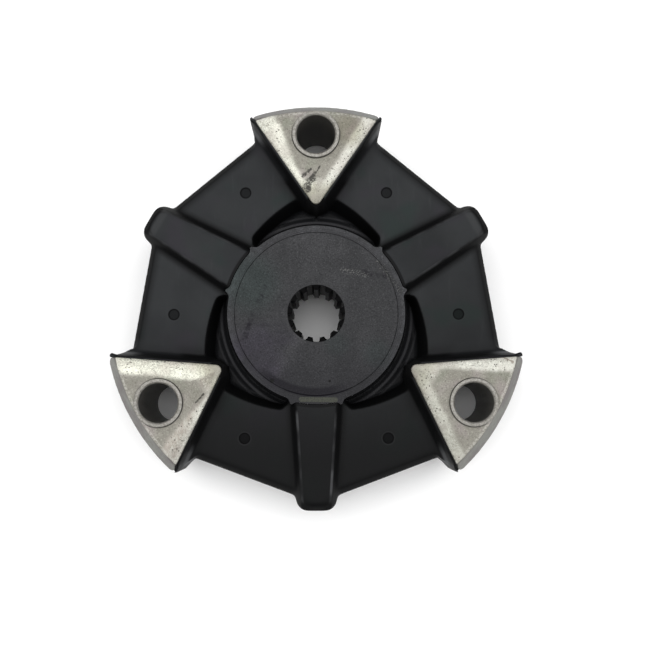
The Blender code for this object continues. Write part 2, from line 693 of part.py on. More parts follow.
def make_screw(name, azimuth, material):
    """Socket head screw whose head rests on the outer end of a block."""
    seat = BLOCK_SEAT_RADIUS + SEAT_GAP
    top = seat + SCREW_HEAD_HEIGHT
    profile = [
        (0, SCREW_TIP_RADIUS), (SCREW_RADIUS - SCREW_TIP_CHAMFER, SCREW_TIP_RADIUS),
        (SCREW_RADIUS, SCREW_TIP_RADIUS + SCREW_TIP_CHAMFER), (SCREW_RADIUS, seat),
        (SCREW_HEAD_RADIUS, seat), (SCREW_HEAD_RADIUS, top - SCREW_HEAD_CHAMFER),
        (SCREW_HEAD_RADIUS - SCREW_HEAD_CHAMFER, top), (0, top)]
    item = turned_solid(name, profile, material, steps=32)
    corner = SCREW_SOCKET_WIDTH / math.sqrt(3)
    hexagon = [(corner * math.cos(math.pi * side / 3), corner * math.sin(math.pi * side / 3))
               for side in range(6)]
    combine(item, loft("socket_cut", [(top - SCREW_SOCKET_DEPTH, hexagon), (top + OVERSHOOT, hexagon)]),
            "DIFFERENCE")
    lay_along_radius(item)
    spin_into_place(item, azimuth)
    smooth(item)
    return item


def main():
    clear_scene()
    rubber = make_material("rubber", (0.022, 0.023, 0.025), 0.55, 0.0)
    steel = make_material("hub_steel", (0.055, 0.055, 0.06), 0.5, 0.7)
    cast = make_material("cast_aluminium", (0.42, 0.40, 0.36), 0.5, 0.9)
    tube = make_material("sleeve_steel", (0.40, 0.38, 0.34), 0.42, 0.9)
    fastener = make_material("screw_steel", (0.05, 0.05, 0.05), 0.45, 0.8)
    make_rubber("rubber_body", rubber)
    make_hub("hub", steel)
    for copy in range(COPIES):
        number = copy + 1
        wedge_azimuth = WEDGE_AZIMUTH + copy * 360.0 / COPIES
        rib_azimuth = RIB_AZIMUTH + copy * 360.0 / COPIES
        make_wedge(f"axial_insert_{number}", wedge_azimuth, cast)
        make_sleeve(f"axial_sleeve_{number}", wedge_azimuth, tube)
        make_block(f"radial_insert_{number}", rib_azimuth, cast)
        make_screw(f"radial_screw_{number}", rib_azimuth, fastener)


main()
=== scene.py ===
import math

import bmesh
import bpy
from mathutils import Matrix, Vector


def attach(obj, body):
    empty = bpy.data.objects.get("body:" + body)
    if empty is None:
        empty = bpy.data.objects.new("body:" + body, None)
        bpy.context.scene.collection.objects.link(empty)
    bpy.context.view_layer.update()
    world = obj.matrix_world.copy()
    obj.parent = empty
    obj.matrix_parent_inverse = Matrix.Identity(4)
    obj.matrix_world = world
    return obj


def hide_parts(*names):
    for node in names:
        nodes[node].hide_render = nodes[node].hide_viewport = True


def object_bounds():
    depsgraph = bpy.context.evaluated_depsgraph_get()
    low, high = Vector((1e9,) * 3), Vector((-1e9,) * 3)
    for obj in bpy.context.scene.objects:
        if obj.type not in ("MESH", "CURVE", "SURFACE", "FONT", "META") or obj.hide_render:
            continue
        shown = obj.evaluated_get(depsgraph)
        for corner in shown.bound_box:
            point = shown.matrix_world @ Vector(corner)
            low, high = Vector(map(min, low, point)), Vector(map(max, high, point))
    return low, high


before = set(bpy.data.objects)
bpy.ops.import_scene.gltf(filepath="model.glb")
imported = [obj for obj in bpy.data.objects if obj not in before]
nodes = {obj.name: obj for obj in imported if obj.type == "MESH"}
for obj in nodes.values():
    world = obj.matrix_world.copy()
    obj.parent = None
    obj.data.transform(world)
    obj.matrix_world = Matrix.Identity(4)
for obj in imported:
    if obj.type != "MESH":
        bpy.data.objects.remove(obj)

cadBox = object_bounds()
mm = 0.001
wedgeAzimuths = (90, 210, 330)
ribAzimuths = (30, 150, 270)
markAzimuths = (60, 120, 180, 240, 300, 0)


# Helpers for selecting and shaping, as by hand

def clearSelection():
    if bpy.context.object and bpy.context.object.mode != "OBJECT":
        bpy.ops.object.mode_set(mode="OBJECT")
    bpy.ops.object.select_all(action="DESELECT")


def makeActive(piece):
    clearSelection()
    piece.select_set(True)
    bpy.context.view_layer.objects.active = piece


def newPiece(name):  # names the primitive that was just added
    piece = bpy.context.object
    piece.name = piece.data.name = name
    return piece


def editMode():
    bpy.ops.object.mode_set(mode="EDIT")


def objectMode():
    bpy.ops.object.mode_set(mode="OBJECT")


def pickFaces(piece, test):  # test gets a face's centre and normal, centre in mm
    bpy.ops.mesh.select_mode(type="FACE")
    mesh = bmesh.from_edit_mesh(piece.data)
    for face in mesh.faces:
        face.select_set(bool(test(face.calc_center_median() / mm, face.normal)))
    mesh.select_flush_mode()
    bmesh.update_edit_mesh(piece.data)


def pickEdges(piece, test):  # test gets an edge's two ends in mm
    bpy.ops.mesh.select_mode(type="EDGE")
    mesh = bmesh.from_edit_mesh(piece.data)
    for edge in mesh.edges:
        edge.select_set(bool(test(edge.verts[0].co / mm, edge.verts[1].co / mm)))
    mesh.select_flush_mode()
    bmesh.update_edit_mesh(piece.data)


def cutBeyond(point, facing):  # cuts off what lies past a plane and closes the cut, point in mm
    bpy.ops.mesh.select_all(action="SELECT")
    bpy.ops.mesh.bisect(plane_co=point * mm, plane_no=facing, use_fill=True, clear_outer=True)


def extrudeUp(distance, widen=1.0):  # distance in mm, widened about the Z axis
    bpy.ops.mesh.extrude_region_move(TRANSFORM_OT_translate={"value": (0, 0, distance * mm)})
    if widen != 1.0:
        bpy.ops.transform.resize(value=(widen, widen, 1), center_override=(0, 0, 0))


def useModifier(piece, kind, **settings):
    modifier = piece.modifiers.new(kind.title(), kind)
    for key, value in settings.items():
        setattr(modifier, key, value)
    makeActive(piece)
    bpy.ops.object.modifier_apply(modifier=modifier.name)


def cutWith(piece, tool, solver="MANIFOLD"):
    useModifier(piece, "BOOLEAN", object=tool, operation="DIFFERENCE", solver=solver)
    bpy.data.objects.remove(tool, do_unlink=True)


def turnPiece(piece, degrees):  # turns the mesh itself, so the object stays unturned
    makeActive(piece)
    piece.rotation_euler.z = math.radians(degrees)
    bpy.ops.object.transform_apply(location=True, rotation=True, scale=True)


def copyPiece(piece, name):
    copied = bpy.data.objects.new(name, piece.data.copy())
    copied.data.name = name
    bpy.context.scene.collection.objects.link(copied)
    return copied


def copyOfNode(node, name):  # a merged copy of a CAD node's loose triangles
    copied = copyPiece(nodes[node], name)
    copied.data.materials.clear()
    makeActive(copied)
    editMode()
    bpy.ops.mesh.select_all(action="SELECT")
    bpy.ops.mesh.remove_doubles(threshold=0.00001)
    bpy.ops.mesh.normals_make_consistent(inside=False)
    objectMode()
    return copied


def addCylinder(name, points, radius, length, place=(0, 0, 0), turn=(0, 0, 0)):  # measures in mm
    clearSelection()
    bpy.ops.mesh.primitive_cylinder_add(vertices=points, radius=radius * mm, depth=length * mm,
                                        location=tuple(part * mm for part in place), rotation=turn)
    return newPiece(name)


def boreAlongRib(name, start, end, radius, azimuth):
    middle, turn = (start + end) / 2, math.radians(azimuth)
    place = (middle * math.cos(turn), middle * math.sin(turn), 0)
    return addCylinder(name, 64, radius, end - start, place, (0, math.pi / 2, turn))


def boxAlongRib(name, start, end, width, height, azimuth):
    clearSelection()
    middle, turn = (start + end) / 2 * mm, math.radians(azimuth)
    bpy.ops.mesh.primitive_cube_add(
        size=1, location=(middle * math.cos(turn), middle * math.sin(turn), 0), rotation=(0, 0, turn),
        scale=((end - start) * mm, width * mm, height * mm))
    return newPiece(name)


def joinPieces(pieces):
    makeActive(pieces[0])
    for piece in pieces:
        piece.select_set(True)
    bpy.ops.object.join()
    return pieces[0]


def smoothShading(piece, degrees=30):
    makeActive(piece)
    bpy.ops.object.shade_smooth_by_angle(angle=math.radians(degrees))


def finishPiece(piece, material, slot, *replaced):
    makeActive(piece)
    bpy.ops.object.transform_apply(location=True, rotation=True, scale=True)
    piece.data.materials.clear()
    piece.data.materials.append(material)
    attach(piece, "root")
    if replaced:
        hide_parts(*replaced)
    print(f"made {piece.name}: {len(piece.data.polygons)} faces", flush=True)


def placeThree(first, material, slot, node):  # copies a piece at the top wedge to the other two
    name = first.name[:-1]
    pieces = [first, copyPiece(first, f"{name}2"), copyPiece(first, f"{name}3")]
    for number, (piece, azimuth) in enumerate(zip(pieces, wedgeAzimuths), 1):
        turnPiece(piece, azimuth - 90)
        finishPiece(piece, material, slot, f"{node}_{number}")


# Helpers for shader maths

class Wire:  # one socket, which Python's own operators work on
    def __init__(self, shader, socket):
        self.shader, self.socket = shader, socket

    def maths(self, operation, first, second=0.0, third=0.0, clamp=False):
        values = {0: first, 1: second, 2: third}
        return self.shader.node("Math", {"operation": operation, "use_clamp": clamp}, values)

    def __add__(self, other):
        return self.maths("ADD", self, other)

    def __radd__(self, other):
        return self.maths("ADD", other, self)

    def __sub__(self, other):
        return self.maths("SUBTRACT", self, other)

    def __rsub__(self, other):
        return self.maths("SUBTRACT", other, self)

    def __mul__(self, other):
        return self.maths("MULTIPLY", self, other)

    def __rmul__(self, other):
        return self.maths("MULTIPLY", other, self)

    def __truediv__(self, other):
        return self.maths("DIVIDE", self, other)

    def __pow__(self, other):
        return self.maths("POWER", self, other)

    def __abs__(self):
        return self.maths("ABSOLUTE", self)

    def held(self):  # between 0 and 1
        return self.maths("ADD", self, 0.0, clamp=True)

    def most(self, other):
        return self.maths("MAXIMUM", self, other)

    def step(self, low, high):  # rises smoothly from 0 at low to 1 at high
        values = {"Value": self, "From Min": min(low, high), "From Max": max(low, high),
                  "To Min": 0.0 if low < high else 1.0, "To Max": 1.0 if low < high else 0.0}
        return self.shader.node("MapRange", {"interpolation_type": "SMOOTHSTEP"}, values)


class Shader:
    def __init__(self, name, **fixed):
        self.material = bpy.data.materials.new(name)
        self.material.use_nodes = True
        self.tree = self.material.node_tree
        self.surface = self.tree.nodes["Principled BSDF"]
        for key, value in fixed.items():
            self.surface.inputs[key.replace("_", " ")].default_value = value
        metres = self.node("TexCoord", out="Object")
        self.place = self.node("VectorMath", {"operation": "SCALE"}, {0: metres, "Scale": 1 / mm})
        self.flat = self.node("VectorMath", {"operation": "MULTIPLY"}, {0: self.place, 1: (1, 1, 0)})
        parts = {0: self.place}
        self.x = self.node("SeparateXYZ", {}, parts, "X")
        self.y = self.node("SeparateXYZ", {}, parts, "Y")
        self.z = self.node("SeparateXYZ", {}, parts, "Z")

    def node(self, kind, settings=None, values=None, out=0):
        made = self.tree.nodes.new("ShaderNode" + kind)
        for key, value in (settings or {}).items():
            setattr(made, key, value)
        for key, value in (values or {}).items():
            self.feed(made.inputs[key], value)
        return Wire(self, made.outputs[out])

    def feed(self, socket, value):
        if isinstance(value, Wire):
            self.tree.links.new(value.socket, socket)
        elif isinstance(value, tuple) and len(value) == 3 and socket.type == "RGBA":
            socket.default_value = (*value, 1.0)
        else:
            socket.default_value = value

    def mix(self, first, second, share, blend="MIX"):
        settings = {"data_type": "RGBA", "blend_type": blend}
        return self.node("Mix", settings, {0: share, 6: first, 7: second}, 2)

    def noise(self, size, detail=2.0, roughness=0.5, stretch=(1, 1, 1), shift=0.0):  # size in mm
        scale = tuple(1.0 / (size * part) for part in stretch)
        place = (shift, shift * 0.7, shift * 0.3)
        moved = self.node("Mapping", {}, {"Vector": self.place, "Location": place, "Scale": scale})
        values = {"Vector": moved, "Scale": 1.0, "Detail": detail, "Roughness": roughness}
        return self.node("TexNoise", {}, values, "Fac")

    def cells(self, size, shift=0.0):  # distance to the nearest of many points, 0 at a point
        scale, place = (1.0 / size,) * 3, (shift,) * 3
        moved = self.node("Mapping", {}, {"Vector": self.place, "Location": place, "Scale": scale})
        return self.node("TexVoronoi", {}, {"Vector": moved, "Scale": 1.0}, "Distance")

    def radius(self, centre=(0, 0)):  # distance in mm from an upright line
        return self.node("VectorMath", {"operation": "DISTANCE"}, {0: self.flat, 1: (*centre, 0)}, "Value")

    def sector(self, azimuth, period=120):  # across and outward, from the nearest of the equal directions
        half = math.radians(period / 2)
        turn = self.x.maths("ARCTAN2", self.y, self.x) - math.radians(azimuth)
        turn = turn.maths("WRAP", turn, half, -half)
        reach = self.radius()
        return reach * turn.maths("SINE", turn), reach * turn.maths("COSINE", turn)

    def distance(self, across, outward, middle):  # from the point that far out in the middle of a sector
        return self.x.maths("SQRT", across * across + (outward - middle) ** 2.0)

    def spot(self, centre, size, soft):  # 1 inside a round spot, in mm
        return self.radius(centre).step(size + soft, size)

    def band(self, value, middle, width, soft):  # 1 where the value is within the band
        return abs(value - middle).step(width / 2 + soft, width / 2)

    def stroke(self, start, end, width, soft, wander=0.0):  # 1 on a line between two points, in mm
        along = Vector((end[0] - start[0], end[1] - start[1], 0))
        offset = self.node("VectorMath", {"operation": "SUBTRACT"}, {0: self.flat, 1: (*start, 0)})
        share = self.node("VectorMath", {"operation": "DOT_PRODUCT"},
                          {0: offset, 1: tuple(along / along.length_squared)}, "Value").held()
        nearest = self.node("VectorMath", {"operation": "SCALE"}, {0: tuple(along), "Scale": share})
        far = self.node("VectorMath", {"operation": "DISTANCE"}, {0: offset, 1: nearest}, "Value")
        if wander:
            far = far + (self.noise(max(width, 0.6) * 1.5, 3.0, shift=start[0]) - 0.5) * (2 * wander)
        return far.step(width / 2 + soft, width / 2)

    def strokes(self, rows):  # several strokes added up
        return sum((self.stroke(*row) for row in rows), 0.0)

    def bump(self, height, depth):  # depth in mm for a height of 1
        values = {"Height": height, "Distance": depth * mm, "Strength": 1.0}
        return self.node("Bump", {}, values, "Normal")

    def finish(self, **inputs):
        for key, value in inputs.items():
            self.feed(self.surface.inputs[key.replace("_", " ")], value)
        return self.material


# Camera, light and floor

view = {"place": (0.00245, -0.03580, 0.39343), "turn": (0.08246, -0.00246, -0.0022), "lens": 53.448}
# each light box has its azimuth and height in degrees, and its power in watts
light = {
    "skyStrength": 0.46, "boxSize": 0.9, "boxDistance": 1.3,
    "boxes": ((90, 78, 7.5), (150, 46, 4.4), (210, 46, 4.2), (330, 46, 4.2), (30, 46, 4.4))}
ground = {"size": 3.0, "roughness": 0.8, "color": (0.95, 0.95, 0.95)}


def makeCamera():
    bpy.ops.object.camera_add(location=view["place"], rotation=view["turn"])
    camera = bpy.context.object
    camera.data.sensor_width = 36
    camera.data.lens = view["lens"]
    camera.data.clip_start = 0.01
    bpy.context.scene.camera = camera


def makeLight():
    world = bpy.data.worlds.new("studio")
    bpy.context.scene.world = world
    world.use_nodes = True
    sky = world.node_tree.nodes["Background"]
    sky.inputs["Color"].default_value = (1.0, 1.0, 1.0, 1.0)
    sky.inputs["Strength"].default_value = light["skyStrength"]
    for azimuth, rise, power in light["boxes"]:
        turn, height = math.radians(azimuth), math.radians(rise)
        level = math.cos(height)
        place = Vector((math.cos(turn) * level, math.sin(turn) * level, math.sin(height)))
        bpy.ops.object.light_add(type="AREA", location=place * light["boxDistance"])
        lamp = bpy.context.object
        lamp.data.energy = power
        lamp.data.size = light["boxSize"]
        lamp.rotation_euler = (-place).to_track_quat("-Z", "Y").to_euler()


def makeFloor():
    clearSelection()
    bpy.ops.mesh.primitive_plane_add(size=ground["size"], location=(0, 0, cadBox[0][2]))
    floor = newPiece("floor")
    shader = Shader("paleFloor", Roughness=ground["roughness"])
    floor.data.materials.append(shader.finish(Base_Color=ground["color"]))


bpy.context.scene.view_settings.view_transform = "Standard"
makeCamera()
makeLight()
makeFloor()
print("camera, light and floor are in place")


# The wedge inserts

wedge = {
    "apexRadius": 41.0, "halfAngle": 34.4, "tipRound": 2.2, "tipRoundSteps": 6, "endRadius": 83.5,
    "faceRadius": 79.4, "waistHeight": 14.0, "faceHeight": 21.8, "points": 240,
    "bandAngle": 28.2, "bandStart": (6.4, 55.0), "bandSlope": 0.242, "tipStart": 52.5, "tipSlope": 0.13,
    "cornerRound": 1.8, "cornerPlace": (23.36, 78.3), "cornerTurns": (-13, 8, 29, 50),
    "boltRadius": 70.0, "holeRadius": 9.5, "holeCutLength": 60.0,
    "voxel": 0.5, "softening": 8, "castRoughness": 0.12, "castGrain": 1.6}


def wedgeBlank(name, grow, topHeight, endRadius, drafted=True):  # a plain wedge on +Y, tip inwards
    w = wedge
    blank = addCylinder(name, w["points"], endRadius, 2 * w["waistHeight"])
    rise = topHeight - w["waistHeight"]
    draft = (w["endRadius"] - w["faceRadius"]) / (w["faceHeight"] - w["waistHeight"]) if drafted else 0.0
    taper = (endRadius - draft * rise) / endRadius
    editMode()
    for side in (1, -1):
        pickFaces(blank, lambda centre, normal: normal.z * side > 0.9)
        extrudeUp(rise * side, taper)
    tangent = math.radians(w["halfAngle"])
    for side in (1, -1):
        outward = Vector((side * math.cos(tangent), -math.sin(tangent), 0))
        cutBeyond(Vector((0, w["apexRadius"], 0)) + outward * grow, outward)
    pickEdges(blank, lambda a, b: abs(a.x) < 0.001 and abs(b.x) < 0.001 and abs(a.z - b.z) > 1)
    bpy.ops.mesh.bevel(offset=(w["tipRound"] + grow) / math.tan(tangent) * mm, segments=w["tipRoundSteps"])
    objectMode()
    return blank


def makeInsert(material):
    w = wedge
    blank = wedgeBlank("axialInsert1", 0.0, w["faceHeight"], w["endRadius"])
    turn = math.radians(w["bandAngle"])
    editMode()
    for side in (1, -1):  # rounds the two outer corners with a few flat cuts
        for cutTurn in w["cornerTurns"]:
            lean = math.radians(cutTurn)
            facing = Vector((side * math.cos(lean), math.sin(lean), 0))
            middle = Vector((side * w["cornerPlace"][0], w["cornerPlace"][1], 0))
            cutBeyond(middle + facing * w["cornerRound"], facing)
    for face in (1, -1):  # slopes the bands along both flanks and the tip, on both faces
        for side in (1, -1):
            flank = Vector((side * math.cos(turn), -math.sin(turn), 0))
            start = Vector((side * w["bandStart"][0], w["bandStart"][1], face * w["faceHeight"]))
            cutBeyond(start, flank * w["bandSlope"] + Vector((0, 0, face)))
        cutBeyond(Vector((0, w["tipStart"], face * w["faceHeight"])), (0, -w["tipSlope"], face))
    objectMode()
    useModifier(blank, "REMESH", mode="VOXEL", voxel_size=w["voxel"] * mm)
    useModifier(blank, "SMOOTH", factor=0.5, iterations=w["softening"])
    roughCast = bpy.data.textures.new("roughCast", "CLOUDS")
    roughCast.noise_scale = w["castGrain"] * mm
    roughCast.noise_depth = 2
    useModifier(blank, "DISPLACE", texture=roughCast, strength=w["castRoughness"] * mm, mid_level=0.5)
    place = (0, w["boltRadius"], 0)
    cutWith(blank, addCylinder("holeCutter", 96, w["holeRadius"], w["holeCutLength"], place))
    smoothShading(blank)
    placeThree(blank, material, "cast_aluminium", "axial_insert")


# The bolt sleeves

sleeve = {"bore": 7.6, "outside": 9.3, "halfLength": 23.0, "innerChamfer": 0.55, "outerRound": 0.2}


def makeSleeves(material):
    s = sleeve
    tube = addCylinder("axialSleeve1", 128, s["outside"], 2 * s["halfLength"])
    editMode()
    pickFaces(tube, lambda centre, normal: abs(normal.z) > 0.9)
    bpy.ops.mesh.inset(thickness=(s["outside"] - s["bore"]) * mm, use_individual=True)
    bpy.ops.mesh.bridge_edge_loops()
    bpy.ops.mesh.select_all(action="SELECT")
    bpy.ops.mesh.normals_make_consistent(inside=False)
    for radius, offset, steps in ((s["bore"], s["innerChamfer"], 1), (s["outside"], s["outerRound"], 3)):
        pickEdges(tube, lambda a, b: abs(a.z - b.z) < 0.01 and abs(a.z) > s["halfLength"] - 3
                  and abs(a.xy.length - radius) < 0.05 and abs(b.xy.length - radius) < 0.05)
        bpy.ops.mesh.bevel(offset=offset * mm, segments=steps)
    bpy.ops.mesh.select_all(action="SELECT")
    bpy.ops.transform.translate(value=(0, wedge["boltRadius"] * mm, 0))
    objectMode()
    smoothShading(tube)
    placeThree(tube, material, "sleeve_steel", "axial_sleeve")


# The hub

hub = {
    "radius": 35.0, "halfHeight": 16.0, "points": 360,
    "stepRadius": 32.0, "stepDrop": 0.4, "stepEdge": 0.5, "seatRise": 0.6, "seatAngle": 11.5,
    "hornRise": 2.4, "hornAngle": 15.5, "hornFoot": 20.0, "hornCurve": 2.2,
    "teeth": 13, "pointsPerTooth": 16, "toothFoot": 0.28, "toothFlank": 0.08, "splineMajor": 11.2,
    "splineMinor": 9.45, "leadIn": 0.15, "leadInLevels": 6, "levelsBeyond": 3,
    "screwRadius": 3.3, "screwHoleReach": (19.0, 41.0), "edgeRound": 0.22}


def rimRadius(azimuth, gap):  # the hub's outline with its seats and horns
    h = hub
    away = abs((azimuth - ribAzimuths[0] + 60) % 120 - 60)
    if away <= h["seatAngle"]:
        rise = h["seatRise"]
    elif away <= h["hornAngle"]:
        share = (away - h["seatAngle"]) / (h["hornAngle"] - h["seatAngle"])
        rise = h["seatRise"] + (h["hornRise"] - h["seatRise"]) * share ** h["hornCurve"]
    elif away <= h["hornFoot"]:
        share = (h["hornFoot"] - away) / (h["hornFoot"] - h["hornAngle"])
        rise = h["hornRise"] * share ** h["hornCurve"]
    else:
        rise = 0.0
    return h["radius"] + rise + gap


def hubBlank(name, halfHeight):
    return addCylinder(name, hub["points"], hub["radius"], 2 * halfHeight)


def shapeRim(piece, gap):  # moves the rim's points out to the seats and horns
    for point in piece.data.vertices:
        if point.co.xy.length > (hub["radius"] - 0.5) * mm:
            azimuth = math.atan2(point.co.y, point.co.x)
            wanted = rimRadius(math.degrees(azimuth), gap) * mm
            point.co.x, point.co.y = wanted * math.cos(azimuth), wanted * math.sin(azimuth)


def makeHub(material):
    h = hub
    disc = hubBlank("hubDisc", h["halfHeight"] - h["stepDrop"])
    editMode()
    for side in (1, -1):
        pickFaces(disc, lambda centre, normal: normal.z * side > 0.9)
        bpy.ops.mesh.inset(thickness=(h["radius"] - h["stepRadius"] - h["stepEdge"]) * mm)
        bpy.ops.mesh.inset(thickness=h["stepEdge"] * mm, depth=h["stepDrop"] * mm)
    objectMode()
    shapeRim(disc, 0.0)
    flare = h["splineMajor"] - h["splineMinor"] + 2 * h["leadIn"]
    start, step = h["halfHeight"] - flare, flare / h["leadInLevels"]
    spline = addCylinder("splineCutter", h["teeth"] * h["pointsPerTooth"], h["splineMajor"], 2 * start)
    editMode()
    for side in (1, -1):
        pickFaces(spline, lambda centre, normal: normal.z * side > 0.9)
        for level in range(h["leadInLevels"] + h["levelsBeyond"]):
            extrudeUp(step * side)
    objectMode()
    for point in spline.data.vertices:  # teeth, opened at both ends by a cone
        azimuth = math.atan2(point.co.y, point.co.x)
        phase = ((azimuth / (2 * math.pi) * h["teeth"] - h["teeth"] / 4 + 0.5) % 1) - 0.5
        rise = min(1.0, max(0.0, (h["toothFoot"] - abs(phase)) / h["toothFlank"]))
        tooth = h["splineMajor"] - (h["splineMajor"] - h["splineMinor"]) * rise
        cone = h["splineMinor"] - h["leadIn"] + abs(point.co.z) / mm - start
        wanted = max(tooth, cone) * mm
        point.co.x, point.co.y = wanted * math.cos(azimuth), wanted * math.sin(azimuth)
    cutWith(disc, spline, solver="EXACT")
    holes = [boreAlongRib("screwHole", *h["screwHoleReach"], h["screwRadius"], azimuth)
             for azimuth in ribAzimuths]
    cutWith(disc, joinPieces(holes), solver="EXACT")
    useModifier(disc, "BEVEL", width=h["edgeRound"] * mm, segments=2, limit_method="ANGLE",
                angle_limit=math.radians(35))
    smoothShading(disc, 25)
    finishPiece(disc, material, "hub_steel", "hub")


# The rubber ring

# plugs fill the spaces while the ring is softened, then the spaces are cut again with sharp edges
ring = {
    "voxel": 0.62, "softening": 11, "keptShare": 0.55, "ribHeight": 16.0, "lipHeight": 20.1,
    "ribHalfWidth": 8.8, "ribWidthRadius": 30.0, "ribTaper": 0.064, "edgeDistance": 69.9, "edgeTurn": 20.5,
    "plugGrow": 0.4, "pocketGrow": 0.15, "pocketHeight": 24.0, "pocketRadius": 92.0,
    "hubPlugRadius": 35.7, "hubGap": 0.25, "hubCutHalfHeight": 30.0,
    "blockPlugReach": (33.0, 68.0), "blockPlugWidth": 12.0, "blockPlugHeight": 23.0,
    "blockReach": (33.0, 66.3), "blockWidth": 11.6, "blockHeight": 22.6,
    "borePlugReach": (60.0, 76.6), "borePlugRadius": 5.8, "boreReach": (63.0, 82.0), "boreRadius": 5.6,
    "beadPlace": (25.2, 76.9, 18.9), "beadRadius": 1.15, "beadLength": 2.6,
    "markRadius": 2.1, "markDepth": 0.4, "markCircle": 56.5, "faceHeight": 12.0}


def makeRubber(material):
    r = ring
    solids = [copyOfNode("rubber_body", "rubberRing")]
    across, outward, height = r["beadPlace"]
    for azimuth in wedgeAzimuths:  # a plug for each pocket, and beads at its two outer corners
        plug = wedgeBlank("wedgePlug", r["plugGrow"], r["lipHeight"], wedge["endRadius"])
        turnPiece(plug, azimuth - 90)
        solids.append(plug)
        for side in (1, -1):
            place = (side * across, outward, height)
            bead = addCylinder("cornerBead", 24, r["beadRadius"], r["beadLength"], place)
            bpy.ops.object.transform_apply(location=True, rotation=True, scale=True)
            turnPiece(bead, azimuth - 90)
            solids.append(bead)
    for azimuth in ribAzimuths:
        solids.append(boxAlongRib("blockPlug", *r["blockPlugReach"], r["blockPlugWidth"],
                                  r["blockPlugHeight"], azimuth))
        solids.append(boreAlongRib("borePlug", *r["borePlugReach"], r["borePlugRadius"], azimuth))
    solids.append(addCylinder("hubPlug", 180, r["hubPlugRadius"], 2 * r["ribHeight"]))
    body = joinPieces(solids)
    body.name = body.data.name = "rubberRing"
    useModifier(body, "REMESH", mode="VOXEL", voxel_size=r["voxel"] * mm)
    useModifier(body, "SMOOTH", factor=0.5, iterations=r["softening"])
    useModifier(body, "DECIMATE", ratio=r["keptShare"])
    print(f"softened the rubber: {len(body.data.polygons)} faces", flush=True)
    cutters = [hubBlank("hubCutter", r["hubCutHalfHeight"])]
    shapeRim(cutters[0], r["hubGap"])
    for azimuth in wedgeAzimuths:
        pocket = wedgeBlank("pocketCutter", r["pocketGrow"], r["pocketHeight"], r["pocketRadius"],
                            drafted=False)
        turnPiece(pocket, azimuth - 90)
        cutters.append(pocket)
    cutWith(body, joinPieces(cutters), solver="EXACT")
    print("cut the pockets", flush=True)
    blocks = [boxAlongRib("blockCutter", *r["blockReach"], r["blockWidth"], r["blockHeight"], azimuth)
              for azimuth in ribAzimuths]
    cutWith(body, joinPieces(blocks), solver="EXACT")
    bores = [boreAlongRib("boreCutter", *r["boreReach"], r["boreRadius"], azimuth)
             for azimuth in ribAzimuths]
    cutWith(body, joinPieces(bores), solver="EXACT")
    print("cut the bores", flush=True)
    marks = []
    for azimuth in markAzimuths:
        turn, reach = math.radians(azimuth), r["markCircle"]
        for side in (1, -1):
            place = (reach * math.cos(turn), reach * math.sin(turn), r["faceHeight"] * side)
            marks.append(addCylinder("markCutter", 40, r["markRadius"], 2 * r["markDepth"], place))
    cutWith(body, joinPieces(marks), solver="EXACT")
    smoothShading(body, 32)
    finishPiece(body, material, "rubber", "rubber_body")


# Finishes: places and widths in mm, colours as linear red, green and blue, tints as factors

def fromFlank(across, outward):  # how far outside a wedge's flank, and below zero within it
    lean = math.radians(wedge["halfAngle"])
    return (abs(across) - (outward - wedge["apexRadius"]) * math.tan(lean)) * math.cos(lean)


rubberColors = {
    "darkFace": (0.0158, 0.0170, 0.0184), "face": (0.0212, 0.0226, 0.0240),
    "streak": (0.0310, 0.0328, 0.0348), "green": (0.0140, 0.0225, 0.0205),
    "purple": (0.0223, 0.0193, 0.0254), "shadedSide": (0.0020, 0.0021, 0.0023),
    "side": (0.0105, 0.0110, 0.0120), "sideHighlight": (0.0550, 0.0570, 0.0600),
    "tip": (0.0012, 0.0012, 0.0014), "edgeHighlight": (0.0520, 0.0530, 0.0556),
    "crestHighlight": (0.0462, 0.0470, 0.0485), "gap": (0.0023, 0.0023, 0.0027), "web": (0.0100, 0.0104, 0.0115),
    "webHighlight": (0.0385, 0.0385, 0.0416), "mark": (0.0010, 0.0010, 0.0012),
    "markRingShade": (0.0008, 0.0008, 0.0010), "markRimHighlight": (0.0385, 0.0385, 0.0400)}


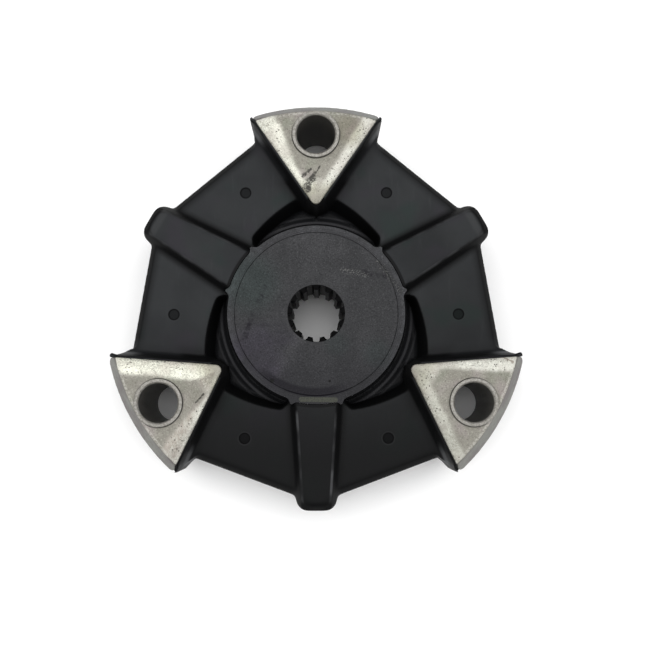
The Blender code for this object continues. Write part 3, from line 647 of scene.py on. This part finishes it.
def rubberFinish():
    s = Shader("satinRubber", Specular_IOR_Level=0.095)
    c = rubberColors
    grain, cloud = s.noise(0.35, 3.0, 0.6), s.noise(16.0, 3.0, 0.5)
    streak = s.noise(9.0, 3.0, 0.6, stretch=(0.25, 1.6, 1.0))
    upward = abs(s.node("SeparateXYZ", {}, {0: s.node("TexCoord", out="Normal")}, "Z"))
    flat = upward.step(0.78, 0.985)
    reach, height = s.radius(), abs(s.z)
    low = height.step(13.4, 12.6)
    face = s.mix(c["darkFace"], c["face"], cloud.step(0.3, 0.7))
    face = s.mix(face, c["streak"], streak.step(0.55, 0.8) * 0.35)
    tint = s.noise(22.0, 2.0, 0.5, shift=5.0)
    face = s.mix(face, c["green"], tint.step(0.56, 0.68) * 0.6)
    face = s.mix(face, c["purple"], tint.step(0.44, 0.34) * 0.45)
    # painted shade: darker towards -Y and in two soft patches, towards the edges, in the valleys beside the
    # ribs, at the base of the jackets and at the ribs' outer ends
    lit = s.y.step(-62, 10) * 0.93 + 0.07
    lit = lit * (1.0 - s.spot((58, -2), 8, 22) * 0.3) * (1.0 - s.spot((43, 25), 6, 12) * 0.25)
    across, outward = s.sector(30)
    ribHalf = ring["ribHalfWidth"] - (outward - ring["ribWidthRadius"]) * ring["ribTaper"]
    beside = abs(across) - ribHalf
    valleyShade = beside.step(4.8, 2.0) * beside.step(-0.5, 0.3) * height.step(8.0, 9.0)
    edgeTurn = math.radians(ring["edgeTurn"])
    margin = ring["edgeDistance"] - (abs(across) * math.sin(edgeTurn) + outward * math.cos(edgeTurn))
    edgeShade = margin.step(5.8, 1.8) * low
    wedgeAcross, wedgeOutward = s.sector(90)
    fromWedge = fromFlank(wedgeAcross, wedgeOutward)
    footShade = fromWedge.step(8.5, 2.5) * 0.55 + fromWedge.step(4.4, 3.2) * 0.3
    ribEnd = outward.step(72.8, 74.6) * beside.step(0.5, -0.5)
    shade = lit * (1.0 - valleyShade * 0.85) * (1.0 - edgeShade * 0.7)
    shade = shade * (1.0 - footShade * low) * (1.0 - ribEnd * 0.6)
    # painted light and shade on the jackets' and other steep sides: dark, lighter a little outside the
    # jackets' flanks, dark again near the tips, with a painted highlight along the outer part of each corner
    side = s.mix(c["shadedSide"], c["side"], fromWedge.step(1.4, 3.0) * fromWedge.step(9, 6) * lit)
    side = s.mix(side, c["shadedSide"], wedgeOutward.step(56, 52))
    sideHighlight = s.band(fromWedge, 2.3, 0.4, 0.6) * wedgeOutward.step(66, 71) * wedgeOutward.step(77, 75)
    side = s.mix(side, c["sideHighlight"], sideHighlight * 0.8)
    color = s.mix(side, face, flat * shade)
    # painted shade: a dark round patch in front of each wedge's tip
    tip = s.distance(wedgeAcross, wedgeOutward, 43.6).step(4.0, 3.2)
    color = s.mix(color, c["tip"], tip)
    # painted highlights: lighter lines along the ribs' upper edges, patchy and strongest at two glints, and
    # along their outer ends
    edge = s.band(beside, -0.6, 0.4, 0.5) * height.step(14.2, 15.2) * outward.step(37.5, 40)
    highlightPatches = s.noise(7.0, 2.0, shift=3.0).step(0.35, 0.7)
    glint = s.spot((-6.4, -40), 4, 3) + s.spot((6.4, -66), 3, 3)
    color = s.mix(color, c["edgeHighlight"], edge * (0.12 + highlightPatches * 0.28 + glint * 0.6).held())
    crestHighlight = s.band(outward, 72.2, 1.2, 1.6) * beside.step(0.0, -1.4) * height.step(14.2, 15.2)
    color = s.mix(color, c["crestHighlight"], crestHighlight * s.y.step(-30, 0) * 0.3)
    # painted shade: a dark line where the ribs meet the hub
    color = s.mix(color, c["gap"], reach.step(37.2, 36.7) * height.step(4, 5))
    # the web round the hub, painted darker as shade deep in its groove, with two painted highlight lines
    webHighlight = s.band(reach, 38.6, 0.5, 0.5) * 0.9 + s.band(reach, 41.0, 0.3, 0.4) * 0.5
    web = height.step(3.6, 2.6) * reach.step(44.5, 43.5)
    color = s.mix(color, s.mix(c["web"], c["webHighlight"], webHighlight), web)
    # the round mould marks, with painted shade in their recesses and along their rims, and a painted
    # highlight on the rims' side towards -Y
    fromMark = s.distance(*s.sector(0, 60), ring["markCircle"])
    mark = fromMark.step(2.4, 2.1) * low
    color = s.mix(color, s.mix(c["mark"], color, 0.4), mark)
    color = s.mix(color, c["markRingShade"], s.band(fromMark, 2.05, 0.2, 0.3) * low * 0.8)
    markRimHighlight = s.band(fromMark, 2.5, 0.15, 0.3) * low * s.y.step(60, -60)
    color = s.mix(color, c["markRimHighlight"], markRimHighlight * 0.12)
    rough = 0.46 + cloud * 0.12 + grain * 0.06 + ribEnd * 0.35 + tip * 0.4 + mark * 0.3
    return s.finish(Base_Color=color, Roughness=rough, Normal=s.bump(grain, 0.03))


hubColors = {
    "dark": (0.0220, 0.0224, 0.0240), "steel": (0.0300, 0.0304, 0.0324),
    "paleGrain": (0.085, 0.085, 0.089), "paleDots": (0.095, 0.095, 0.099),
    "darkDots": (0.0070, 0.0070, 0.0080), "line": (0.0050, 0.0048, 0.0052),
    "seat": (0.052, 0.055, 0.042), "smear": (0.0040, 0.0034, 0.0060), "scrape": (0.110, 0.110, 0.106),
    "pit": (0.0030, 0.0030, 0.0030), "bore": (0.0010, 0.0010, 0.0012),
    "boreStrip": (0.0115, 0.0118, 0.0130), "greenTint": (0.84, 1.09, 1.0),
    "purpleTint": (1.06, 0.95, 1.17), "paleTint": (1.55, 1.52, 1.52), "lowerShadeTint": (0.58, 0.57, 0.61),
    "rimTint": (1.45, 1.45, 1.47)}
# each stroke has its start, end, width, softness and wander
hubSmears = (
    ((-20.4, 10.4), (-22.4, 4.8), 0.7, 1.1, 1.2), ((-25.5, -1.0), (-27.8, -10.0), 0.9, 1.4, 1.5),
    ((19.0, 16.3), (27.0, 14.6), 0.8, 1.1, 1.2))


def hubFinish():
    s = Shader("darkHubSteel", Metallic=0.2, Specular_IOR_Level=0.16)
    c = hubColors
    grain, fine = s.noise(0.6, 3.0, 0.7), s.noise(0.5, 2.0, 0.6, shift=3.0)
    cloud, mottle = s.noise(11.0, 3.0, 0.6), s.noise(2.4, 3.0, 0.6, shift=2.0)
    reach, height = s.radius(), abs(s.z)
    color = s.mix(c["dark"], c["steel"], cloud.step(0.3, 0.7))
    color = s.mix(color, c["paleGrain"], grain.step(0.54, 0.76) * 0.5)
    color = s.mix(color, c["paleDots"], fine.step(0.56, 0.74) * 0.3)
    darkDots = (grain.step(0.48, 0.30) * 0.8).most(fine.step(0.44, 0.28) * 0.8)
    color = s.mix(color, c["darkDots"], darkDots)
    # faint green and purple areas, paler streaks, and painted shade darker towards -Y
    tint = s.noise(15.0, 2.0, 0.5, shift=9.0)
    green = s.spot((-26, 12), 5, 11) * 0.8 + s.spot((8, -12), 2, 5) * 0.4 + s.spot((24, -16), 2, 6) * 0.5
    color = s.mix(color, c["greenTint"], green.held(), "MULTIPLY")
    purple = s.spot((-21, -17), 8, 10) * tint.step(0.3, 0.6)
    color = s.mix(color, c["purpleTint"], purple * 0.8, "MULTIPLY")
    pale = s.stroke((-16.1, -24.2), (-6.4, -8.5), 0.6, 3.6, 1.0) * 0.6
    pale = pale + s.stroke((-8, 29), (8, 27), 4.0, 5.0, 2.0) * 0.25
    color = s.mix(color, c["paleTint"], pale.held(), "MULTIPLY")
    color = s.mix(color, c["lowerShadeTint"], s.y.step(-2, -30) * 0.8, "MULTIPLY")
    # the rim, its thin turned lines and the pale seat at -Y
    rimStart = hub["stepRadius"]
    rim = reach.step(rimStart - 0.1, rimStart + 0.3) * mottle.step(0.35, 0.65) * s.y.step(-34, -12)
    color = s.mix(color, c["rimTint"], rim, "MULTIPLY")
    line = s.band(reach, 32.15, 0.15, 0.22) + s.band(reach, 32.9, 0.1, 0.2) * 0.6
    line = line + s.band(reach, 33.6, 0.1, 0.2) * 0.4
    color = s.mix(color, c["line"], line.held() * (0.25 + mottle.step(0.38, 0.58) * 0.65))
    seat = s.stroke((-5.8, -33.7), (7.4, -33.9), 1.5, 0.4)
    color = s.mix(color, c["seat"], seat * (0.45 + fine.step(0.4, 0.6) * 0.4))
    # dark smears, the scraped place, the chipped edge and two pits
    crescent = s.band(reach, 32.2, 0.5, 0.35) * s.y.step(-28.5, -31.0)
    low = s.band(reach, 30.7, 1.4, 1.5) * s.y.step(-20.0, -26.0) * s.x.step(15.0, 4.0)
    smear = s.strokes(hubSmears) + s.stroke((-28, -4.4), (-12, -4.6), 0.4, 1.2, 1.0) * 0.4
    smear = smear * (0.25 + mottle.step(0.42, 0.6) * 0.75)
    smear = (smear * 0.8).most(crescent).most(low * (0.8 + fine.step(0.6, 0.4) * 0.3))
    color = s.mix(color, c["smear"], smear.held() * 0.9)
    scrape = s.stroke((10.6, 17.2), (19.4, 15.4), 0.3, 1.4, 1.5) * fine.step(0.52, 0.62)
    chip = s.stroke((25.0, 20.2), (33.2, 8.6), 0.9, 1.3, 1.8) * grain.step(0.52, 0.62)
    color = s.mix(color, c["scrape"], (scrape * 0.9 + chip * 0.7).held())
    pit = s.spot((5.2, -26.6), 0.3, 0.35) + s.spot((-17.3, -26.5), 0.5, 0.6)
    color = s.mix(color, c["pit"], pit.held())
    # the bore is painted dark as shade, with paler strips on the teeth and grooves
    major = hub["splineMajor"]
    strip = s.band(reach, hub["splineMinor"] - 0.05, 0.3, 0.15) + s.band(reach, major + 0.05, 0.2, 0.15)
    bore = s.mix(c["bore"], c["boreStrip"], (strip * height.step(15.5, 14.6)).held())
    color = s.mix(color, bore, reach.step(major + 0.25, major + 0.05))
    relief = grain + fine * 0.5 - pit * 2.0 - chip * 1.5
    return s.finish(Base_Color=color, Roughness=0.46 + grain * 0.16, Normal=s.bump(relief, 0.06))


castColors = {
    "flat": (0.1733, 0.1656, 0.1386), "paleFlat": (0.2118, 0.2017, 0.1733),
    "pinkFlat": (0.2350, 0.2030, 0.1980), "greenFlat": (0.1500, 0.1560, 0.1200),
    "darkBand": (0.185, 0.178, 0.152), "band": (0.60, 0.60, 0.54), "brownBand": (0.36, 0.33, 0.30),
    "glare": (0.74, 0.74, 0.67), "pit": (0.050, 0.042, 0.034), "darkSpeck": (0.090, 0.084, 0.068),
    "paleSpeck": (0.330, 0.320, 0.276), "hole": (0.0231, 0.0216, 0.0185), "brimHighlight": (0.46, 0.45, 0.41),
    "draft": (0.116, 0.104, 0.100), "paleDraft": (0.160, 0.162, 0.144),
    "darkDraft": (0.085, 0.078, 0.070), "dirt": (0.016, 0.014, 0.010), "rust": (0.1001, 0.0655, 0.0385),
    "fringe": (0.0115, 0.0115, 0.0123), "litBandTint": (1.28, 1.29, 1.24), "shadedBandTint": (0.74, 0.74, 0.72),
    "tipTint": (0.66, 0.65, 0.58), "dullTint": (0.62, 0.57, 0.55), "spotTint": (0.70, 0.69, 0.62),
    "topDraftTint": (0.80, 0.81, 0.81)}
# each stroke has its start, end, width, softness and wander
castDirt = (
    ((1.6, 57.4), (0.0, 54.6), 0.25, 0.3, 0.4), ((-0.4, 55.0), (-2.2, 52.2), 0.5, 0.5, 0.8),
    ((-2.0, 56.4), (-2.9, 55.0), 0.4, 0.4, 0.5), ((-2.8, 56.0), (-4.9, 53.4), 0.6, 0.5, 0.9),
    ((-1.6, 52.0), (-3.8, 49.6), 1.9, 1.2, 2.2), ((-2.8, 49.0), (-3.4, 47.6), 0.7, 1.0, 1.4))


def castFinish():
    s = Shader("castAluminium", Metallic=0.35)
    c = castColors
    grain, fine, cloud = s.noise(0.9, 3.0, 0.7), s.noise(0.6, 3.0, 0.7), s.noise(9.0, 3.0, 0.55)
    across, outward = s.sector(90)
    reach = s.radius()
    inward = 0.0 - fromFlank(across, outward)
    # top is the insert at +Y, left and right are those at -X and +X, clockwise and counter their flanks
    clockwise = across.step(1.0, -1.0)
    top, left = s.y.step(19, 21), s.x.step(1, -1)
    low, right, counter = 1.0 - top, 1.0 - left, 1.0 - clockwise
    # how wide the bright band is on each flank, at its inner and outer end
    share = ((outward - 55.0) / 19.0).held()
    wanted = (cloud - 0.5) * 2.0
    for here, near, far in ((top * clockwise, 3.2, 4.6), (top * counter, 2.2, 6.8),
                            (low * left * clockwise, 6.6, 6.0), (low * left * counter, 1.6, 7.0),
                            (low * right * clockwise, 4.4, 4.2), (low * right * counter, 2.7, 5.2)):
        wanted = wanted + here * (share * (far - near) + near)
    ragged = inward + (grain - 0.5) * 2.4 - wanted
    bright = ragged.step(1.4, -0.9).most(outward.step(54.0, 51.0))
    bright = bright * (outward.step(42.5, 50.0) * 0.75 + 0.25)
    # the flat middle face
    color = s.mix(c["flat"], c["paleFlat"], cloud.step(0.35, 0.65))
    color = s.mix(color, c["pinkFlat"], s.noise(13.0, 2.0, 0.5, shift=4.0).step(0.5, 0.66) * 0.8)
    color = s.mix(color, c["greenFlat"], s.noise(11.0, 2.0, 0.5, shift=7.0).step(0.5, 0.66) * 0.7)
    # the bright bands, partly their own specks and brown patches, partly painted light: much brighter than
    # the flat face where the slopes catch the lamps, with a painted glare
    speckle = fine * 0.7 + grain * 0.3
    band = s.mix(c["darkBand"], c["band"], speckle.step(0.38, 0.60))
    band = s.mix(band, c["brownBand"], s.noise(7.0, 2.0, 0.5, shift=6.0).step(0.42, 0.62) * 0.5)
    band = s.mix(band, c["glare"], s.band(ragged, -1.6, 1.2, 2.2) * cloud.step(0.3, 0.6) * 0.4)
    dull = low * left * counter * inward.step(0.6, 2.6)
    drawn = s.noise(2.2, 3.0, 0.6, stretch=(0.5, 1.6, 1.0), shift=5.0)
    # painted light: some flanks' bands lighter and one darker
    band = s.mix(band, c["litBandTint"], top * counter * 0.6 + low * left * clockwise, "MULTIPLY")
    band = s.mix(band, c["shadedBandTint"], low * right * clockwise, "MULTIPLY")
    band = s.mix(band, c["tipTint"], outward.step(54.0, 47.0) * 0.85, "MULTIPLY")
    band = s.mix(band, c["dullTint"], dull * (0.5 + drawn.step(0.4, 0.6) * 0.5), "MULTIPLY")
    color = s.mix(color, band, bright)
    # pits and specks, painted shade at the wall of each insert's bolt opening, and a painted highlight along
    # the outer edge of the face
    pitted = s.cells(1.3, 2.0).step(0.24, 0.14) * cloud.step(0.40, 0.55)
    color = s.mix(color, c["pit"], pitted * bright)
    color = s.mix(color, c["darkSpeck"], fine.step(0.53, 0.68) * 0.75)
    color = s.mix(color, c["paleSpeck"], fine.step(0.45, 0.32) * 0.6)
    color = s.mix(color, c["spotTint"], s.spot((12.5, 72.0), 3, 6), "MULTIPLY")
    fromBolt = s.distance(across, outward, wedge["boltRadius"])
    color = s.mix(color, c["hole"], fromBolt.step(wedge["holeRadius"] + 0.25, wedge["holeRadius"]) * 0.4)
    faceEnd = wedge["faceRadius"]
    brimHighlight = s.band(reach, faceEnd - 0.5, 0.4, 0.7) * grain.step(0.40, 0.56)
    color = s.mix(color, c["brimHighlight"], brimHighlight * 0.55)
    # the drafted outer end
    draft = s.mix(c["draft"], c["paleDraft"], cloud.step(0.35, 0.65))
    draft = s.mix(draft, c["darkDraft"], grain.step(0.5, 0.7) * 0.4)
    draft = s.mix(draft, c["topDraftTint"], top, "MULTIPLY")
    color = s.mix(color, draft, reach.step(faceEnd - 0.1, faceEnd + 0.3))
    # dirt and rust, and ragged rubber along one edge
    dirt = s.strokes(castDirt) * (0.45 + speckle.step(0.58, 0.44) * 0.75)
    scratch = s.stroke((-43.3, -31.7), (-46.4, -35.0), 0.3, 0.3, 0.5)
    dirt = dirt + scratch * (0.4 + fine.step(0.4, 0.55) * 0.6)
    color = s.mix(color, c["dirt"], dirt.held() * 0.95)
    rust = s.stroke((72.0, -17.5), (75.9, -19.4), 0.25, 0.3, 0.3) + s.spot((75.9, -19.5), 0.3, 0.4)
    color = s.mix(color, c["rust"], rust.held() * 0.6)
    fringe = inward.step(1.5, 0.2) * grain.step(0.52, 0.60) * across.step(0.0, -1.0) * s.x.step(-30.0, -34.0)
    color = s.mix(color, c["fringe"], fringe * outward.step(50, 54) * outward.step(75, 72))
    height = grain * bright + fine * 0.4 - pitted * bright
    return s.finish(Base_Color=color, Roughness=0.42 + grain * 0.2, Normal=s.bump(height, 0.10))


sleeveColors = {
    "steel": (0.150, 0.142, 0.124), "paleSteel": (0.255, 0.246, 0.226),
    "paleDots": (0.360, 0.348, 0.322), "darkDots": (0.085, 0.078, 0.066),
    "bore": (0.0539, 0.0508, 0.0462), "outerEdgeShade": (0.0385, 0.0347, 0.0308)}


def sleeveFinish():
    s = Shader("sleeveSteel", Metallic=0.5)
    c = sleeveColors
    grain, fine = s.noise(0.8, 3.0, 0.6), s.noise(0.3, 2.0, 0.6)
    fromAxis = s.distance(*s.sector(90), wedge["boltRadius"])
    color = s.mix(c["steel"], c["paleSteel"], grain.step(0.35, 0.65))
    color = s.mix(color, c["paleDots"], fine.step(0.5, 0.7) * 0.5)
    color = s.mix(color, c["darkDots"], fine.step(0.46, 0.32) * 0.4)
    bore, outside = sleeve["bore"], sleeve["outside"]
    # painted shade inside the bore and along the thin gap at the outer edge
    color = s.mix(color, c["bore"], fromAxis.step(bore + 0.15, bore) * 0.75)
    color = s.mix(color, c["outerEdgeShade"], fromAxis.step(outside - 0.1, outside + 0.05) * 0.5)
    return s.finish(Base_Color=color, Roughness=0.38 + grain * 0.2, Normal=s.bump(grain + fine, 0.04))


screwColors = {"dark": (0.0231, 0.0231, 0.0231), "pale": (0.0539, 0.0524, 0.0501)}


def screwFinish():
    s = Shader("blackScrewSteel", Metallic=0.8)
    grain = s.noise(0.5, 3.0, 0.6)
    color = s.mix(screwColors["dark"], screwColors["pale"], grain)
    return s.finish(Base_Color=color, Roughness=0.4 + grain * 0.2, Normal=s.bump(grain, 0.03))


def dressNode(node, material):  # for a CAD node that no piece replaces
    mesh = nodes[node].data
    if not mesh.materials:
        mesh.materials.append(material)
    for index in range(len(mesh.materials)):
        mesh.materials[index] = material


rubberSkin, hubSkin, castSkin = rubberFinish(), hubFinish(), castFinish()
sleeveSkin, screwSkin = sleeveFinish(), screwFinish()
print("finishes are ready")
makeInsert(castSkin)
makeSleeves(sleeveSkin)
makeHub(hubSkin)
makeRubber(rubberSkin)
for number in (1, 2, 3):
    dressNode(f"radial_insert_{number}", castSkin)
    dressNode(f"radial_screw_{number}", screwSkin)
print("all pieces are made")
